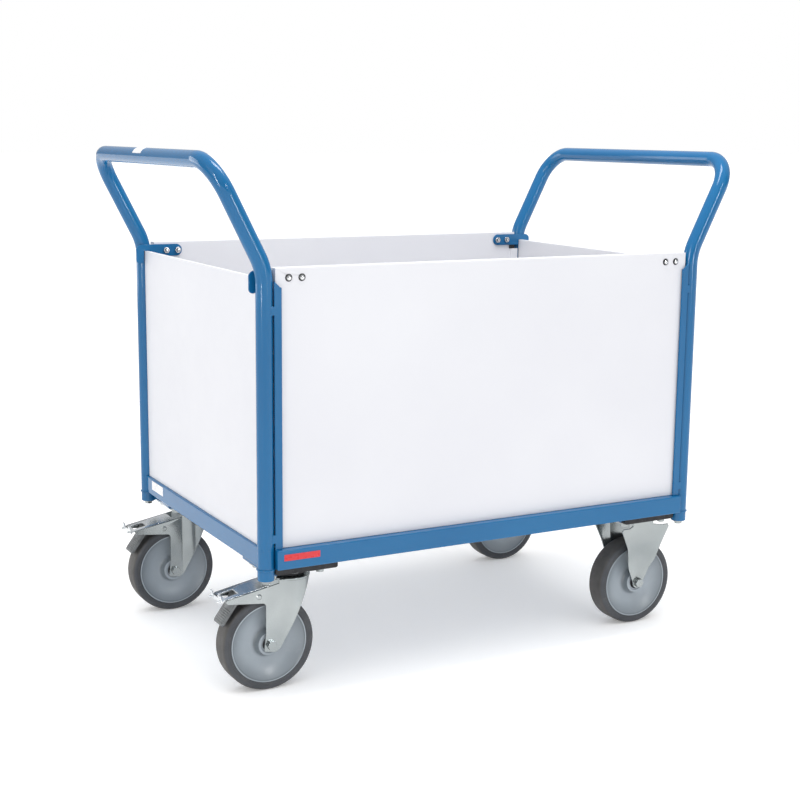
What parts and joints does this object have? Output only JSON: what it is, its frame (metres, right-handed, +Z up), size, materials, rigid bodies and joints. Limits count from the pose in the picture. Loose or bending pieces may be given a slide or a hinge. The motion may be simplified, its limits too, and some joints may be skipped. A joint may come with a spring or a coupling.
{
  "type": "platform box trolley",
  "caption": "Four-wheeled box trolley: blue tube base, bent tube handles at both ends, white end boards, lift-out side boards on hooks, two braked swivel castors and two fixed ones.",
  "frame": {"origin": "on the floor, under the middle of the bounding box", "axes": "+X along the length towards the fixed castors, +Y across, +Z up; the swivel castors are at -X"},
  "size_m": [1.28, 0.765, 1.0925],
  "materials": {
    "blue_paint": "satin powder coat",
    "zinc_steel": "bright zinc plate",
    "board_white": "white laminate on board",
    "deck_wood": "satin laminate on board",
    "tyre": "matte rubber",
    "rim_grey": "satin",
    "bearing_dark": "satin",
    "ball_steel": "polished",
    "pad_grey": "matte",
    "label_white": "gloss film"
  },
  "bodies": {
    "base": {"front_rail": "blue_paint", "rear_rail": "blue_paint", "left_rail": "blue_paint", "right_rail": "blue_paint", "corner_posts": "blue_paint", "post_bolts": "zinc_steel", "deck_bearers": "blue_paint", "deck_board": "deck_wood", "deck_screws": "zinc_steel", "castor_channels": "blue_paint", "castor_bolts": "zinc_steel", "castor_nuts": "zinc_steel", "handle_left": "blue_paint", "handle_right": "blue_paint", "retaining_strips": "blue_paint", "end_board_left": "board_white", "end_board_right": "board_white", "end_lugs": "blue_paint", "lug_screws": "zinc_steel", "labels": "label_white", "swivel_plate_near": "zinc_steel", "ball_ring_near": "ball_steel", "king_bolt_near": "zinc_steel", "swivel_plate_far": "zinc_steel", "ball_ring_far": "ball_steel", "king_bolt_far": "zinc_steel", "fixed_fork_near": "zinc_steel", "fixed_axle_near": "zinc_steel", "fixed_fork_far": "zinc_steel", "fixed_axle_far": "zinc_steel"},
    "side_front": {"side_board_front": "board_white", "side_hooks_front": "blue_paint", "side_bolts_front": "zinc_steel", "side_nuts_front": "zinc_steel"},
    "side_rear": {"side_board_rear": "board_white", "side_hooks_rear": "blue_paint", "side_bolts_rear": "zinc_steel", "side_nuts_rear": "zinc_steel"},
    "swivel_near": {"fork_near": "zinc_steel", "axle_near": "zinc_steel", "brake_pin_near": "zinc_steel"},
    "brake_near": {"pedal_near": "zinc_steel", "brake_pad_near": "pad_grey"},
    "wheel_near": {"rim_near": "rim_grey", "bearing_near": "bearing_dark", "tyre_near": "tyre"},
    "swivel_far": {"fork_far": "zinc_steel", "axle_far": "zinc_steel", "brake_pin_far": "zinc_steel"},
    "brake_far": {"pedal_far": "zinc_steel", "brake_pad_far": "pad_grey"},
    "wheel_far": {"rim_far": "rim_grey", "bearing_far": "bearing_dark", "tyre_far": "tyre"},
    "fixed_wheel_near": {"fixed_rim_near": "rim_grey", "fixed_bearing_near": "bearing_dark", "fixed_tyre_near": "tyre"},
    "fixed_wheel_far": {"fixed_rim_far": "rim_grey", "fixed_bearing_far": "bearing_dark", "fixed_tyre_far": "tyre"}
  },
  "joints": [
    {"name": "swivel_near", "type": "hinge", "parent": "base", "child": "swivel_near", "pos_m": [-0.438, -0.285, 0.237], "axis": [0, 0, 1], "continuous": true},
    {"name": "wheel_spin_near", "type": "hinge", "parent": "swivel_near", "child": "wheel_near", "pos_m": [-0.491, -0.285, 0.1], "axis": [0, 1, 0], "continuous": true},
    {"name": "brake_pedal_near", "type": "hinge", "parent": "swivel_near", "child": "brake_near", "pos_m": [-0.517, -0.285, 0.205], "axis": [0, -1, 0], "range_deg": [0, 6]},
    {"name": "fixed_wheel_spin_near", "type": "hinge", "parent": "base", "child": "fixed_wheel_near", "pos_m": [0.438, -0.285, 0.1], "axis": [0, 1, 0], "continuous": true},
    {"name": "swivel_far", "type": "hinge", "parent": "base", "child": "swivel_far", "pos_m": [-0.438, 0.285, 0.237], "axis": [0, 0, 1], "continuous": true},
    {"name": "wheel_spin_far", "type": "hinge", "parent": "swivel_far", "child": "wheel_far", "pos_m": [-0.491, 0.285, 0.1], "axis": [0, 1, 0], "continuous": true},
    {"name": "brake_pedal_far", "type": "hinge", "parent": "swivel_far", "child": "brake_far", "pos_m": [-0.517, 0.285, 0.205], "axis": [0, -1, 0], "range_deg": [0, 6]},
    {"name": "fixed_wheel_spin_far", "type": "hinge", "parent": "base", "child": "fixed_wheel_far", "pos_m": [0.438, 0.285, 0.1], "axis": [0, 1, 0], "continuous": true},
    {"name": "side_lift_front", "type": "slide", "parent": "base", "child": "side_front", "axis": [0, 0, 1], "range_m": [0, 0.56]},
    {"name": "side_lift_rear", "type": "slide", "parent": "base", "child": "side_rear", "axis": [0, 0, 1], "range_m": [0, 0.56]}
  ]
}
